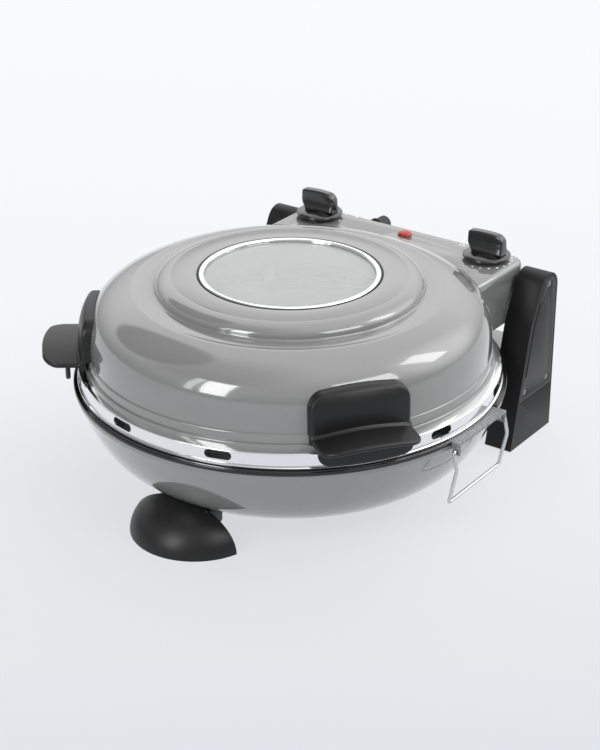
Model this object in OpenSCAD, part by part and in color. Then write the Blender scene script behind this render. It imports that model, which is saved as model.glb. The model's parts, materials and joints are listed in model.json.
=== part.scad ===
// Electric pizza maker: round base with a baking plate, and a domed lid
// with a window that is hinged between two rear columns.
// Millimetres, +Z up, front towards -Y. The table top is z = 0.
// Most pieces are drawn in the lid's own frame: its axis is the Z axis and
// the lid's bottom lip is z = 0 there.

/* [Lid] */
// Radius of the lid's bottom lip, the widest circle of the lid
lip_r = 178; // [172:0.5:186]
// Thickness of the lid's painted sheet
lid_t = 1.2; // [0.8:0.1:1.8]
// How far the dome's side stands in from the lip
dome_inset = 10.2; // [9:0.1:12]
// Height of the lowest point of the dome's curve above the lip
dome_low = 23.6; // [22:0.1:25]
// Rise of the dome's curve from there to its level top
dome_rise = 61.5; // [55:0.5:68]
// Squareness of the dome's shoulder, where 2 is an ellipse
dome_square = 3.9; // [3.4:0.1:4.4]
// How far the flat crown's edge stands in from the lip
crown_in = 48; // [42:1:52]
// How far the raised plateau's foot stands in from the crown's edge
plateau_in = 18.7; // [14:0.1:22]
// Width of the plateau's rounded side
plateau_side = 13.8; // [10:0.1:17]
// Height of the plateau above the crown
plateau_h = 10.4; // [8:0.2:14]

/* [Vent ring] */
// Height of the bright ring round the lid's bottom
band_h = 13.3; // [12.5:0.1:15]
// Thickness of the ring's sheet
ring_t = 1.2; // [0.8:0.1:1.6]
// Number of oblong vent slots
slot_count = 12; // [8:1:16]
// Length of a vent slot round the ring
slot_l = 22; // [14:1:30]
// Height of a vent slot
slot_h = 7; // [5:0.5:7.5]
// Direction of the first slot from the front, in degrees
slot_first = 17.3; // [0:0.1:29]

/* [Window] */
// Width of the plateau's flat top round the window opening
window_in = 21.1; // [18:0.1:26]
// Width of the bright trim ring seen from above
trim_w = 4.6; // [3:0.2:6]
// Thickness of the window glass
glass_t = 4; // [3:0.5:5]
// Number of clips that hold the glass from below
clip_count = 4; // [3:1:8]

/* [Base] */
// Height of the lid's lip above the table
lip_z = 91; // [88:0.5:100]
// How far the base bowl's wall stands out past the lid's lip
bowl_out = 2.3; // [2:0.1:6]
// Depth of the bowl's curved part
bowl_depth = 63.5; // [58:0.5:64]
// Thickness of the bowl's sheet
bowl_t = 1.2; // [0.8:0.1:1.6]
// Height of the black rim that shows round the bowl's top
rim_h = 3.2; // [2.8:0.1:4]
// How far the black rim stands out past the bowl
rim_out = 1.2; // [0.8:0.1:2]
// How far the lower heating element lies in from the lip
low_coil_in = 70; // [55:1:85]
// How far the upper heating element lies in from the lip
top_coil_in = 56; // [50:1:75]
// Radius of the heating element's tube
coil_tube_r = 3.25; // [2.75:0.25:4]

/* [Baking plate] */
// How far the flat baking surface ends in from the lip
plate_in = 21; // [20:0.5:30]
// Depth of the baking surface below the plate's rim
plate_depth = 6.3; // [4:0.1:8]
// Thickness of the plate's floor
plate_t = 5; // [4:0.5:6]
// Thickness of the plate's rim and ears
flange_t = 2.2; // [1.8:0.1:2.6]
// Length of an ear along the plate's side
ear_l = 72; // [56:1:84]
// How far an ear reaches past the lid's lip
ear_out = 7.5; // [6.5:0.1:10]
// How far the ears' middle lies behind the lid's axis
ear_back = 4; // [-6:0.5:8]
// Radius of the bail's wire
wire_r = 1.5; // [1.2:0.1:2]
// Height of the bail from its pivot to its bottom bar
bail_h = 46; // [36:1:52]

/* [Front foot] */
// Radius of the foot's round cap at the table
foot_r = 54.5; // [48:0.5:60]
// How far the foot reaches forward past the lid's lip
foot_out = 6.8; // [4:0.1:10]
// Distance of the foot's open back in front of the cap's middle
foot_cut = 15.9; // [12:0.1:20]
// Wall of the foot's moulding
foot_wall = 3; // [2.4:0.1:4]

/* [Columns] */
// Gap between the housing's side and a column
column_gap = 4; // [3.5:0.1:6]
// Thickness of a column from side to side
column_w = 25.6; // [22:0.2:30]
// How far the hinge axis lies behind the lid's lip
hinge_out = 3; // [2:0.5:8]
// Height of the hinge axis above the lid's lip
hinge_up = 45; // [42:0.5:48]
// Radius of a column's round top
column_top_r = 15; // [14:0.5:18]
// How far a column's foot reaches forward of the hinge axis
column_reach = 54.5; // [48:0.5:60]
// Wall of a column's moulding
column_wall = 2.5; // [2:0.1:3]
// Thickness of a column's outer cover
cover_t = 2.2; // [1.8:0.1:2.8]
// Radius of the hinge pin
pin_r = 5; // [4:0.1:6]

/* [Control housing] */
// How far the housing's sides stand in from the lid's lip
house_in = 63; // [58:0.5:68]
// Distance of the housing's rear face behind the hinge axis
house_behind = 12; // [10:0.5:14]
// Height of the housing's top above the lid's lip
house_top = 64; // [62.5:0.5:66]
// Thickness of the housing's sheet
house_t = 1.2; // [0.8:0.1:1.6]
// Radius of the housing's rear corners
house_corner = 12; // [9:0.5:16]
// Radius of the housing's top edges
house_edge = 6; // [4:0.5:8]
// Distance of a knob's axis from the housing's side
knob_in = 27; // [24:0.5:34]
// Distance of a knob's axis from the housing's rear face
knob_front = 23.5; // [20:0.5:26]
// Radius of a knob's disc
knob_r = 21; // [17:0.5:22]
// Height of a knob's grip above its disc
grip_h = 17.4; // [14:0.2:22]
// Length of a knob's grip
grip_l = 34.6; // [28:0.2:38]
// Radius of the pilot light's lens
lens_r = 6.2; // [5:0.1:7]

/* [Handles] */
// Direction of each handle from the front, in degrees
handle_turn = 54; // [50:0.5:58]
// Width of a handle
handle_w = 81.6; // [70:0.2:86]
// Height of a handle's back plate above the lip
handle_top = 62; // [58:0.5:68]
// Thickness of a handle's back plate
handle_t = 8; // [6:0.2:9]
// How far the ledge's outer edge stands out past the lid's lip
ledge_out = 28; // [22:0.5:32]
// Height of the ledge's crown above the lip
ledge_z = 30; // [28:0.5:34]
// Thickness of the ledge
ledge_t = 3.6; // [3:0.2:6]
// Radius to which the ledge is crowned across
ledge_crown = 150; // [120:5:220]
// Height of the skirt's lower edge above the lip
skirt_low = 7; // [5:0.5:12]

/* [Hidden] */
$fn = 120;
eps = 0.01;          // overlap of cutting tools past the faces they cut
gap = 0.3;           // clearance between pieces that move past each other
fit = 0.05;          // radial clearance of a shaft in its hole
seam = 0.2;          // gap of a visible seam between fixed pieces
step = 0.02;         // how much thinner a bar is where it is bent

// Sizes that follow from the driving ones, in the lid's frame
dome_r = lip_r - dome_inset;
crown_r = lip_r - crown_in;
plateau_r = crown_r - plateau_in;
plateau_top_r = plateau_r - plateau_side;
window_r = plateau_top_r - window_in;
bead_low_r = dome_r + 3.7;
bead_high_r = dome_r + 1.5;
bead_step_z = band_h + 4.9;
bead_top_z = dome_low + 2.4;
bead_round = 1.4;
crown_angle = acos(pow(crown_r / dome_r, dome_square / 2));
crown_z = dome_low + dome_rise * pow(sin(crown_angle), 2 / dome_square);
valley_z = crown_z - 0.8;
plateau_z = valley_z + plateau_h;
foot_fillet = 2;
window_z = plateau_z + 0.4;
window_turn = 5;
trim_top = window_z + 0.8;
glass_top = window_z - 1.2;
glass_low = glass_top - glass_t;
gasket_w = 1.2;
gasket_low = glass_low - 1.2;
band_in_r = dome_r + 1.7;
lip_in = 4;
bowl_r = lip_r + bowl_out;
bowl_in_r = bowl_r - bowl_t;
rim_low = -gap - rim_h;
bowl_fall = 4;
bowl_low = rim_low - bowl_fall - bowl_depth;
rim_skirt_low = rim_low - 5.5;
flange_low = rim_low + 0.1;
flange_top = flange_low + flange_t;
plate_floor_r = lip_r - plate_in;
plate_top = flange_top - plate_depth;
plate_low = plate_top - plate_t;
table = -lip_z;
pivot_x = lip_r + 4;
pivot_z = flange_low - 4.6;
lug_t = 2;
low_coil_r = lip_r - low_coil_in;
top_coil_r = lip_r - top_coil_in;
low_coil_z = plate_low - 10;
top_coil_z = dome_low + 6.4;
coil_leg_x = 12;
insulator_r = coil_tube_r + 2.75;
liner_t = 0.8;
roof_z = gasket_low - 21.84;
tray_z = low_coil_z - 11;
hinge_back = lip_r + hinge_out;
house_half_w = lip_r - house_in;
house_back = hinge_back + house_behind;
house_low = band_h + gap;
under_panel = house_top - house_t;
column_in = house_half_w + column_gap;
column_out = column_in + column_w;
column_mid = column_in + column_w / 2;
hinge_in_x = house_half_w - house_t;
boss_end = column_in + 12;
boss_r = 4.5;
bush_r = pin_r + 1.5;
cover_rim = 2;
cover_bottom = table + 42.6;
ledge_r = lip_r + ledge_out;
handle_half_w = handle_w / 2;
knob_x = house_half_w - knob_in;
knob_back = house_back - knob_front;
disc_low = house_top + 2.4;
disc_t = 5.4;
shaft_r = 3;
lens_back = house_back - 17;
gland_r = 7;
gland_out = 17;
gland_x = -42;
gland_z = house_top - 8.5;
cord_r = 3.4;

// Foot: its cap's middle lies foot_y in front of the lid's axis, and its roof
// just reaches into the bowl
foot_y = lip_r + foot_out - foot_r;
foot_back = foot_y + foot_cut;
foot_h = bowl_low + 16 - table;

// Where the lid's axis lies, so that the whole stands centred on the origin
axis_y = (foot_y + foot_r - house_back - gland_out) / 2;

// ---- helpers -------------------------------------------------------------

// Points of a circular arc from angle a0 to a1
function arc(c, r, a0, a1, n = 8) =
    [for (i = [0:n]) let (a = a0 + (a1 - a0) * i / n) [c[0] + r * cos(a), c[1] + r * sin(a)]];

// The same points in reverse order
function flip(p) = [for (i = [len(p) - 1:-1:0]) p[i]];

// Unit vector to the right of the way from p to q
function right_of(p, q) = let (d = (q - p) / norm(q - p)) [d[1], -d[0]];

// An open line moved sideways by d, to the right of its direction
function beside(p, d) = [for (i = [0:len(p) - 1])
    let (a = p[max(i - 1, 0)], b = p[min(i + 1, len(p) - 1)]) p[i] + d * right_of(a, b)];

// A closed, clockwise outline moved inwards by d
function shrunk(p, d) = [for (i = [0:len(p) - 1])
    let (n = len(p), a = right_of(p[(i + n - 1) % n], p[i]), b = right_of(p[i], p[(i + 1) % n]))
    p[i] + d * (a + b) / (1 + a * b)];

// Outline of a sheet of thickness t that follows a line
function sheet(p, t) = concat(p, flip(beside(p, t)));

// Rectangle from lo to hi with rounded corners
function round_box(lo, hi, r) = concat(
    arc([hi[0] - r, lo[1] + r], r, -90, 0), arc([hi[0] - r, hi[1] - r], r, 0, 90),
    arc([lo[0] + r, hi[1] - r], r, 90, 180), arc([lo[0] + r, lo[1] + r], r, 180, 270));

// Radius of the dome's outer face at height z above the lip
function dome_at(z) =
    dome_r * pow(1 - pow((z - dome_low) / dome_rise, dome_square), 1 / dome_square);

// Outer line of the dome, from its foot to the window, moved in by t all over
function dome_line(t) = concat(
    [for (i = [0:20]) let (a = 0.3 + (crown_angle - 0.3) * pow(i / 20, 1.4))
        [dome_r * pow(cos(a), 2 / dome_square) - t,
         dome_low + dome_rise * pow(sin(a), 2 / dome_square) - t]],
    flip(arc([plateau_r + foot_fillet - t, valley_z + foot_fillet - t], foot_fillet, 180, 270, 5)),
    [for (i = [1:14]) let (b = 90 * i / 14)
        [plateau_top_r + (plateau_r - plateau_top_r) * cos(b) - t,
         valley_z + foot_fillet + (plateau_h - foot_fillet) * sin(b) - t]]);

// The two rolled beads at the dome's foot
bead_line = concat([[bead_low_r, band_h]],
    arc([bead_low_r - bead_round, bead_step_z - bead_round], bead_round, 0, 90, 4),
    [[bead_high_r, bead_step_z]],
    arc([bead_high_r - bead_round, bead_top_z - bead_round], bead_round, 0, 90, 4));

// Outer line of the base bowl from its top to its flat bottom, moved in by t
function bowl_line(t) = concat([[bowl_r - t, rim_low]],
    [for (i = [0:18]) let (a = 84 * i / 18)
        [bowl_r * pow(cos(a), 2 / 9) - t, rim_low - bowl_fall - bowl_depth * pow(sin(a), 2.22) + t]],
    [[0, bowl_low + t]]);

// Side outline of a column, clockwise from its front bottom corner, in Y and Z
column_foot = [hinge_back - column_reach, table + 1];
column_knee = [hinge_back - 29, hinge_up - 25];
hinge = [hinge_back, hinge_up];
knee_way = column_knee - hinge;
knee_angle = atan2(knee_way[1], knee_way[0]) + 360 - acos(column_top_r / norm(knee_way));
column_side = concat([column_foot, column_knee],
    arc(hinge, column_top_r, knee_angle, 0, 16),
    [[hinge_back + column_top_r, column_foot[1]]]);

// Moves its children from the lid's frame to the table's frame
module at_lid() {
    translate([0, axis_y, lip_z]) children();
}

// Copies for the left side, made by mirroring the right one
module on_left() {
    mirror([1, 0, 0]) children();
}

// Both sides
module on_both() {
    children();
    on_left() children();
}

// Turns its children to a direction counted from the front
module turned(a) {
    rotate([0, 0, a]) children();
}

// Extrudes a Y-Z outline along X from x0 to x1
module along_x(x0, x1) {
    translate([x0, 0, 0]) rotate([90, 0, 90]) linear_extrude(x1 - x0) children();
}

// A round bar along X, Y or Z that starts at p
module bar_x(p, r, l) {
    translate(p) rotate([0, 90, 0]) cylinder(r = r, h = l, $fn = 48);
}

module bar_y(p, r, l) {
    translate(p) rotate([-90, 0, 0]) cylinder(r = r, h = l, $fn = 48);
}

module bar_z(p, r, l) {
    translate(p) cylinder(r = r, h = l, $fn = 48);
}

// A box from corner lo to corner hi
module box(lo, hi) {
    translate(lo) cube(hi - lo);
}

// Solid inside the dome's outer face, grown by d
module dome_solid(d) {
    rotate_extrude() polygon(concat([[0, 0], [bead_low_r + d, 0], [bead_low_r + d, bead_step_z + d],
        [bead_high_r + d, bead_step_z + d], [bead_high_r + d, bead_top_z]],
        dome_line(-d), [[0, plateau_z + d]]));
}

// Solid inside the bowl's outer face
module bowl_solid() {
    rotate_extrude() polygon(concat([[0, rim_low]], bowl_line(0)));
}

// Heating element: a ring with a gap at the rear and two legs that run back
module coil(r, z, leg_end, tube) {
    bend = 10;
    half_gap = asin((coil_leg_x + bend) / (r + bend));
    centre_y = (r + bend) * cos(half_gap);
    translate([0, 0, z]) {
        rotate([0, 0, 90 + half_gap - eps]) rotate_extrude(angle = 360 - 2 * half_gap + 2 * eps)
            translate([r, 0]) circle(r = tube, $fn = 32);
        on_both() {
            translate([coil_leg_x + bend, centre_y, 0]) rotate([0, 0, 180])
                rotate_extrude(angle = 90 - half_gap)
                    translate([bend, 0]) circle(r = tube - step, $fn = 32);
            bar_y([coil_leg_x, centre_y - eps, 0], tube, leg_end - centre_y + eps);
        }
    }
}

// ---- base ----------------------------------------------------------------

foot_screw_x = 14;
foot_screw_y = -foot_back + 9;
foot_block_low = bowl_low - 7;

// Painted bowl with holes for the element's legs and the foot's screws
module base_bowl() {
    color("#8d908f") at_lid() difference() {
        rotate_extrude() polygon(concat(bowl_line(0), flip(bowl_line(bowl_t))));
        on_both() {
            bar_y([coil_leg_x, low_coil_r, low_coil_z], insulator_r + seam, bowl_r - low_coil_r + 1);
            bar_z([foot_screw_x, foot_screw_y, bowl_low - 1], 2.2, bowl_depth);
        }
    }
}

// Black ring that clips on the bowl's edge and carries the baking plate
module base_rim_ring() {
    ring_out = bowl_r + rim_out;
    color("#161617") at_lid() difference() {
        rotate_extrude() polygon([[lip_r - lip_in, rim_skirt_low], [bowl_in_r - 2, rim_skirt_low],
            [bowl_in_r - 2, rim_low], [ring_out, rim_low], [ring_out, -gap - 1], [ring_out - 1, -gap],
            [lip_r - 1, -gap], [lip_r - 1, flange_low], [lip_r - lip_in, flange_low]]);
        on_both() box([lip_r - 2 * lip_in, ear_back - ear_l / 2 - 2 * gap, flange_low - eps],
            [ring_out + 1, ear_back + ear_l / 2 + 2 * gap, 1]);
    }
}

// Bright tray under the lower element
module base_reflector() {
    tray_t = 1;
    tray = [[bowl_in_r - 2, rim_skirt_low], [lip_r - 12, rim_skirt_low], [lip_r - 28, tray_z],
        [0, tray_z]];
    color("#c9cbcc") at_lid() difference() {
        rotate_extrude() polygon(sheet(flip(tray), tray_t));
        on_both() bar_y([coil_leg_x, low_coil_r, low_coil_z], insulator_r + 1, lip_r - low_coil_r);
    }
}

module lower_heating_element() {
    color("#4a4846") at_lid() coil(low_coil_r, low_coil_z, bowl_r + 4, coil_tube_r);
}

// Blocks with a groove that hold the element on the tray
module lower_element_clips() {
    color("#b9bbbd") at_lid() difference() {
        for (a = [0:90:270]) turned(a + 45) translate([0, -low_coil_r, 0])
            box([-4, -5, tray_z], [4, 5, low_coil_z + 1]);
        rotate_extrude() translate([low_coil_r, low_coil_z])
            circle(r = coil_tube_r + fit, $fn = 32);
    }
}

// Ceramic sleeves round the element's legs where they leave the bowl
module sleeve(z, y0, y1) {
    on_both() difference() {
        bar_y([coil_leg_x, y0, z], insulator_r, y1 - y0);
        bar_y([coil_leg_x, y0 - 1, z], coil_tube_r + fit, y1 - y0 + 2);
    }
}

module lower_element_insulators() {
    color("#ece8dc") at_lid() sleeve(low_coil_z, bowl_r - 20, bowl_r + 1);
}

// Coated plate with two ears that reach out between base and lid
module baking_plate() {
    wall_r = plate_floor_r + 7;
    ear_x = lip_r + ear_out;
    ear_y0 = ear_back - ear_l / 2;
    ear_y1 = ear_back + ear_l / 2;
    color("#55565a") at_lid() {
        rotate_extrude() polygon([[0, plate_low], [wall_r - 5, plate_low], [wall_r + 1, flange_low],
            [lip_r - 1.4, flange_low], [lip_r - 1.4, flange_top], [wall_r, flange_top],
            [plate_floor_r, plate_top], [0, plate_top]]);
        on_both() {
            box([wall_r, ear_y0, flange_low], [ear_x, ear_y1, flange_top]);
            for (y = [ear_y0, ear_y1 - lug_t]) difference() {
                box([pivot_x - 3.2, y, pivot_z - 3.6], [ear_x, y + lug_t, flange_low + eps]);
                bar_y([pivot_x, y - 1, pivot_z], wire_r + fit, lug_t + 2);
            }
        }
    }
}

// Round cap of the foot, half an ellipse in section, moved in by d
module foot_cap(d, below) {
    translate([0, -foot_y, table]) rotate_extrude() polygon(concat([[0, -below], [foot_r - d, -below]],
        [for (i = [0:18]) [(foot_r - d) * cos(5 * i), (foot_h - d) * sin(5 * i)]]));
}

// Scoop-shaped front foot: a cap that is open at the back and below, with a
// block behind it that is screwed to the bowl
module front_foot() {
    block_half = foot_screw_x + 11;
    block_rear = foot_screw_y + 9;
    roof = table + foot_h;
    color("#262627") at_lid() difference() {
        union() {
            difference() {
                intersection() {
                    foot_cap(0, 0);
                    box([-foot_r, -foot_y - foot_r, table], [foot_r, -foot_back, roof]);
                }
                foot_cap(foot_wall, 1);
            }
            intersection() {
                box([-block_half, -foot_back - foot_wall, foot_block_low], [block_half, block_rear, roof]);
                union() {
                    foot_cap(0, 0);
                    box([-foot_r, -foot_back, table], [foot_r, block_rear, roof]);
                }
            }
        }
        bowl_solid();
        on_both() bar_z([foot_screw_x, foot_screw_y, foot_block_low - 1], 2.1, lip_z);
    }
}

module front_foot_screws() {
    color("#a8aaad") at_lid() on_both() {
        bar_z([foot_screw_x, foot_screw_y, foot_block_low - 2.8], 4, 2.8);
        bar_z([foot_screw_x, foot_screw_y, foot_block_low - eps], 2, 20);
    }
}

// ---- columns and bracket ---------------------------------------------------

// Places of a cover's three screws: Y, Z and where their boss starts
cover_screws = [[hinge_back + 1, hinge_up + 5, boss_end - 1],
    [hinge_back + 5, cover_bottom + 8.2, column_in + 1],
    [hinge_back - 33.5, cover_bottom + 8.2, column_in + 1]];
bracket_screws = [[hinge_back - 18, rim_low - 40], [hinge_back - 4, rim_low - 24]];
pad_r = 6;
pad_places = [column_foot[0] + 12, hinge_back];
cover_seam = 0.45;

// The part of a column's outline above the cover's lower edge
module cover_shape(d) {
    intersection() {
        polygon(shrunk(column_side, d));
        translate([0, cover_bottom + d - cover_rim]) square([2 * lip_r, lip_r]);
    }
}

// Hollow moulding with a bearing boss, screw bosses and a closed lower part
module column() {
    color("#2b2b2c") at_lid() difference() {
        union() {
            difference() {
                along_x(column_in, column_out) polygon(column_side);
                along_x(column_in + column_wall, column_out - cover_t)
                    polygon(shrunk(column_side, cover_rim + column_wall));
                along_x(column_out - cover_t - eps, column_out + 1) cover_shape(cover_rim);
            }
            along_x(column_in + 1, boss_end) translate(hinge) circle(r = bush_r + 3);
            for (s = cover_screws) bar_x([s[2], s[0], s[1]], boss_r, column_out - cover_t - s[2]);
        }
        bar_x([column_in - 1, hinge[0], hinge[1]], bush_r + fit, boss_end - column_in + 1);
        for (s = cover_screws) bar_x([column_out - 8, s[0], s[1]], 1.6, 8);
        for (s = bracket_screws) bar_x([column_in - 1, s[0], s[1]], 2.05, column_wall + 6);
        for (y = pad_places) bar_z([column_mid, y, column_foot[1] - 1], pad_r, 2);
    }
}

module left_column() {
    on_left() column();
}

module right_column() {
    column();
}

// Outer cover with a raised three-sided panel and sunk screw holes
module column_cover() {
    panel_rear = hinge_back + 2.5;
    color("#39393b") at_lid() difference() {
        union() {
            along_x(column_out - cover_t, column_out) cover_shape(cover_rim + cover_seam);
            along_x(column_out - eps, column_out + 0.6) intersection() {
                polygon(shrunk(column_side, cover_rim + 4));
                polygon([[panel_rear - column_reach, cover_bottom + 26], [panel_rear, cover_bottom + 14.5],
                    [panel_rear, hinge_up - 19], [panel_rear - 10, hinge_up - 9],
                    [panel_rear - column_reach, hinge_up - 9]]);
            }
        }
        for (s = cover_screws) {
            bar_x([column_out - cover_t - 1, s[0], s[1]], 1.7, 6);
            bar_x([column_out - 1.4, s[0], s[1]], 3.6, 4);
        }
    }
}

module left_column_cover() {
    on_left() column_cover();
}

module right_column_cover() {
    column_cover();
}

module column_cover_screws() {
    color("#b4b6b8") at_lid() on_both() for (s = cover_screws) {
        bar_x([column_out - 1.4, s[0], s[1]], 3, 1.1);
        bar_x([column_out - 7.5, s[0], s[1]], 1.5, 6.2);
    }
}

// Rubber pads let into the columns' undersides
module column_pads() {
    color("#1a1a1a") at_lid() on_both()
        for (y = pad_places) bar_z([column_mid, y, table], pad_r - 0.1, 2);
}

// Flanged bearing bushes for the hinge pins
module hinge_bushes() {
    color("#e4e0d4") at_lid() on_both() difference() {
        union() {
            bar_x([column_in - 1.5, hinge[0], hinge[1]], bush_r + 2.5, 1.5);
            bar_x([column_in - eps, hinge[0], hinge[1]], bush_r, boss_end - column_in);
        }
        bar_x([column_in - 3, hinge[0], hinge[1]], pin_r + fit, boss_end - column_in + 6);
    }
}

// Folded bracket that ties both columns to the bowl
module rear_bracket() {
    t = 2;
    top = rim_low - 6;
    low = top - 44;
    rear = hinge_back + 6;
    color("#8d908f") at_lid() difference() {
        box([-column_in, hinge_back - 46, low], [column_in, rear, top]);
        box([-column_in + t, hinge_back - 50, low - 1], [column_in - t, rear - t, top - t]);
        bowl_solid();
        on_both() for (s = bracket_screws)
            bar_x([column_in - t - 1, s[0], s[1]], 2.05, t + 2);
    }
}

module rear_bracket_screws() {
    color("#a8aaad") at_lid() on_both() for (s = bracket_screws) {
        bar_x([column_in - 4.4, s[0], s[1]], 3.8, 2.4);
        bar_x([column_in - 2.1, s[0], s[1]], 2, column_wall + 6);
    }
}

// ---- lid -------------------------------------------------------------------

handle_screw_z = 44;
handle_screw_t = 22;

// Painted dome with beads, plateau and the turned-down edge of the window
module lid_shell() {
    inner = flip(dome_line(lid_t));
    color("#8f9291") at_lid() difference() {
        rotate_extrude() polygon(concat(bead_line, dome_line(0),
            [[window_r, window_z], [window_r, window_z - window_turn],
             [window_r + lid_t, window_z - window_turn], [window_r + lid_t, window_z - lid_t]],
            inner, [[dome_r - lid_t, band_h]]));
        on_both() {
            bar_y([coil_leg_x, top_coil_r, top_coil_z], insulator_r + seam, lip_r - top_coil_r);
            turned(handle_turn) for (t = [-1, 1])
                bar_y([t * handle_screw_t, -lip_r, handle_screw_z], 2.1, 30);
        }
    }
}

// Bright ring with a lip, a groove, a band and oblong vent slots
module lid_vent_ring() {
    outer = [[lip_r - lip_in, 0], [lip_r - 0.6, 0], [lip_r, 0.6], [lip_r, 1.5], [lip_r - 0.6, 2.1],
        [lip_r - 2, 2.3], [lip_r - 2, 3.2], [lip_r - 1, 3.8], [lip_r - 1, 4.6],
        [lip_r - 1.4, band_h - 0.9], [lip_r - 2.2, band_h], [band_in_r, band_h]];
    inner = [[band_in_r, band_h - ring_t], [lip_r - 2.6, band_h - ring_t],
        [lip_r - 1 - ring_t - 0.3, band_h - ring_t - 0.4], [lip_r - 1 - ring_t, 4.6],
        [lip_r - 2 - ring_t, 3.6], [lip_r - 2 - ring_t, 1.4], [lip_r - lip_in, ring_t]];
    mid_z = (3.8 + band_h) / 2;
    color("#d8dadc") at_lid() difference() {
        rotate_extrude() polygon(concat(outer, inner));
        for (i = [0:slot_count - 1]) turned(slot_first + 360 / slot_count * i)
            translate([0, -dome_r, mid_z]) rotate([90, 0, 0]) {
                for (s = [-1, 1]) translate([s * (slot_l - slot_h) / 2, 0, 0])
                    cylinder(d = slot_h, h = 2 * dome_inset, $fn = 32);
                translate([-(slot_l - slot_h) / 2, -slot_h / 2, 0])
                    cube([slot_l - slot_h, slot_h, 2 * dome_inset]);
            }
    }
}

// Bright liner that reflects the heat, with a collar up to the window
module lid_reflector() {
    liner = [[band_in_r + 2.5, band_h - ring_t - liner_t], [dome_r - 8, band_h - ring_t - liner_t],
        [dome_r - 13, roof_z - 18], [dome_r - 22, roof_z], [window_r + 7, roof_z],
        [window_r + 7, gasket_low - 2]];
    color("#c9cbcc") at_lid() difference() {
        rotate_extrude() polygon(sheet(liner, liner_t));
        on_both() bar_y([coil_leg_x, top_coil_r, top_coil_z], insulator_r + 1, dome_r - top_coil_r);
    }
}

module upper_heating_element() {
    color("#4a4846") at_lid() coil(top_coil_r, top_coil_z, house_back - house_t - 12, coil_tube_r);
}

// Hangers that hold the upper element under the liner's roof
module upper_element_clips() {
    color("#b9bbbd") at_lid() difference() {
        for (a = [0:90:270]) turned(a + 45) translate([0, -top_coil_r, 0])
            box([-4, -5, top_coil_z - 1], [4, 5, roof_z]);
        rotate_extrude() translate([top_coil_r, top_coil_z])
            circle(r = coil_tube_r + fit, $fn = 32);
    }
}

module upper_element_insulators() {
    color("#ece8dc") at_lid() sleeve(top_coil_z, dome_r - 15, dome_r + 5);
}

module window_glass() {
    color("#cfd6d6", 0.4) at_lid()
        translate([0, 0, glass_low]) cylinder(r = window_r - gasket_w - 0.6, h = glass_t);
}

// Black gasket: a thin upright wall and a ledge under the glass
module window_gasket() {
    color("#101011") at_lid() rotate_extrude() polygon([[window_r - 6, gasket_low],
        [window_r, gasket_low], [window_r, window_z + 0.2], [window_r - gasket_w, window_z + 0.2],
        [window_r - gasket_w, glass_low], [window_r - 6, glass_low]]);
}

// Bright trim ring with a rounded top, seated on the glass
module window_trim_ring() {
    out = window_r - gasket_w;
    half = trim_w / 2;
    color("#e2e4e6") at_lid() rotate_extrude() polygon(concat(
        [[out - trim_w, glass_top], [out, glass_top]],
        [for (i = [0:8]) let (a = 180 * i / 8)
            [out - half + half * cos(a), glass_top + 0.8 + (trim_top - glass_top - 0.8) * sin(a)]]));
}

// Spring clips under the gasket that hook behind the lid's turned-down edge
module window_clips() {
    low = gasket_low - 1.2;
    color("#b9bbbd") at_lid() for (i = [0:clip_count - 1]) turned(360 / clip_count * i + 20)
        translate([0, -window_r, 0]) {
            box([-6, -3.2, low], [6, 5, gasket_low]);
            box([-6, -3.2, low], [6, -lid_t - seam / 2, window_z - lid_t - 1]);
        }
}

// ---- handles ---------------------------------------------------------------

// Everything under the ledge's crown, moved down by d
module under_crown(d) {
    translate([0, 0, ledge_z - ledge_crown]) rotate([90, 0, 0])
        cylinder(r = ledge_crown - d, h = 2 * lip_r, $fn = 360);
}

// Handle at the front: back plate on the dome, crowned ledge and hanging skirt
module handle() {
    low = ledge_z - 11;
    face = dome_r + handle_t;
    plate_crown = 180;
    skirt_r = face + 8.2;
    skirt_t = 3.6;
    line = [for (i = [0:12]) let (z = bead_top_z + 2 + (handle_top - bead_top_z - 2) * i / 12)
        [dome_at(z), z]];
    plate = concat([[bead_low_r + gap, low], [face, low]], beside(line, handle_t),
        flip(beside(line, gap)), [[dome_r + gap, bead_top_z + gap], [bead_low_r + gap, bead_top_z + gap]]);
    color("#2a2a2b") difference() {
        union() {
            intersection() {
                rotate([0, 0, -90 - 16]) rotate_extrude(angle = 32) polygon(plate);
                rotate([90, 0, 0]) linear_extrude(2 * lip_r) intersection() {
                    polygon(round_box([-handle_half_w, low], [handle_half_w, handle_top + 4], 14));
                    translate([0, handle_top - plate_crown]) circle(r = plate_crown, $fn = 360);
                }
            }
            difference() {
                intersection() {
                    under_crown(0);
                    translate([0, 0, low]) linear_extrude(ledge_z) intersection() {
                        polygon(round_box([-handle_half_w, -ledge_r], [handle_half_w, -dome_r + 20], 17));
                        translate([0, ledge_crown - ledge_r]) circle(r = ledge_crown, $fn = 360);
                    }
                }
                under_crown(ledge_t);
                cylinder(r = face - 2, h = lip_r);
            }
            intersection() {
                under_crown(1);
                rotate([0, 0, -90 - 14]) rotate_extrude(angle = 28) polygon([[skirt_r, 0],
                    [skirt_r + skirt_t, 0], [skirt_r + skirt_t, ledge_z], [skirt_r, ledge_z]]);
                rotate([90, 0, 0]) linear_extrude(2 * lip_r)
                    polygon(round_box([2 - handle_half_w, skirt_low], [handle_half_w - 2, 2 * ledge_z], 9));
            }
        }
        for (t = [-1, 1]) bar_y([t * handle_screw_t, -dome_r - 4, handle_screw_z], 1.9, 12);
    }
}

module left_handle() {
    at_lid() turned(-handle_turn) handle();
}

module right_handle() {
    at_lid() turned(handle_turn) handle();
}

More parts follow.
